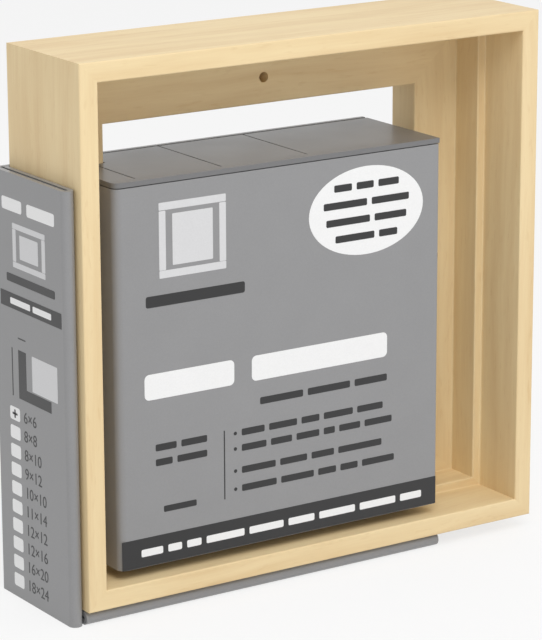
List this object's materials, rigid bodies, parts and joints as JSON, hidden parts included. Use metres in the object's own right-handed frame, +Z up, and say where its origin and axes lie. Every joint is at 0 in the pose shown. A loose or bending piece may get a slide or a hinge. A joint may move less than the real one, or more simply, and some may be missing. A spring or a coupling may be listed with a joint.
{
  "type": "floating frame",
  "caption": "Square mitred maple floating frame for a thin artwork panel, with a rear screw ledge, shown on its corrugated display carton with a hinged lid and packed hardware.",
  "frame": {"origin": "middle of the base that the carton and the frame stand on", "axes": "+X to the right, +Y to the back, +Z up; the frame's open front faces -Y"},
  "size_m": [0.1762, 0.0466, 0.1761],
  "materials": {
    "maple": "sanded, unfinished",
    "nail_steel": "bare steel strip",
    "printed_board": "grey print on corrugated board, satin varnish",
    "kraft_board": "brown kraft, unprinted",
    "white_card": "uncoated white card",
    "paper": "matt paper",
    "zinc_steel": "zinc plated",
    "brass": "brass plated"
  },
  "bodies": {
    "frame": {"top_rail": "maple", "bottom_rail": "maple", "left_rail": "maple", "right_rail": "maple", "corner_nails": "nail_steel"},
    "wrap": {"label_wrap": "printed_board", "base_wrap": "printed_board", "back_web": "printed_board", "tuck_tabs": "kraft_board"},
    "display_box": {"display_tub": "printed_board", "display_neck": "kraft_board", "left_dust_flap": "kraft_board", "right_dust_flap": "kraft_board", "hardware_tray": "white_card", "instruction_leaflet": "paper", "mounting_screws": "zinc_steel", "offset_clips": "zinc_steel", "hanger_screws": "brass", "sawtooth_hanger": "zinc_steel"},
    "lid": {"lid": "printed_board"}
  },
  "joints": [
    {"name": "wrap_slide", "type": "slide", "parent": "frame", "child": "wrap", "axis": [0, 1, 0], "range_m": [0, 0.06]},
    {"name": "display_slide", "type": "slide", "parent": "frame", "child": "display_box", "axis": [0, -1, 0], "range_m": [0, 0.06]},
    {"name": "lid_hinge", "type": "hinge", "parent": "display_box", "child": "lid", "pos_m": [-0.00942, -0.01978, 0.1361], "axis": [1, 0, 0], "range_deg": [0, 14]}
  ]
}
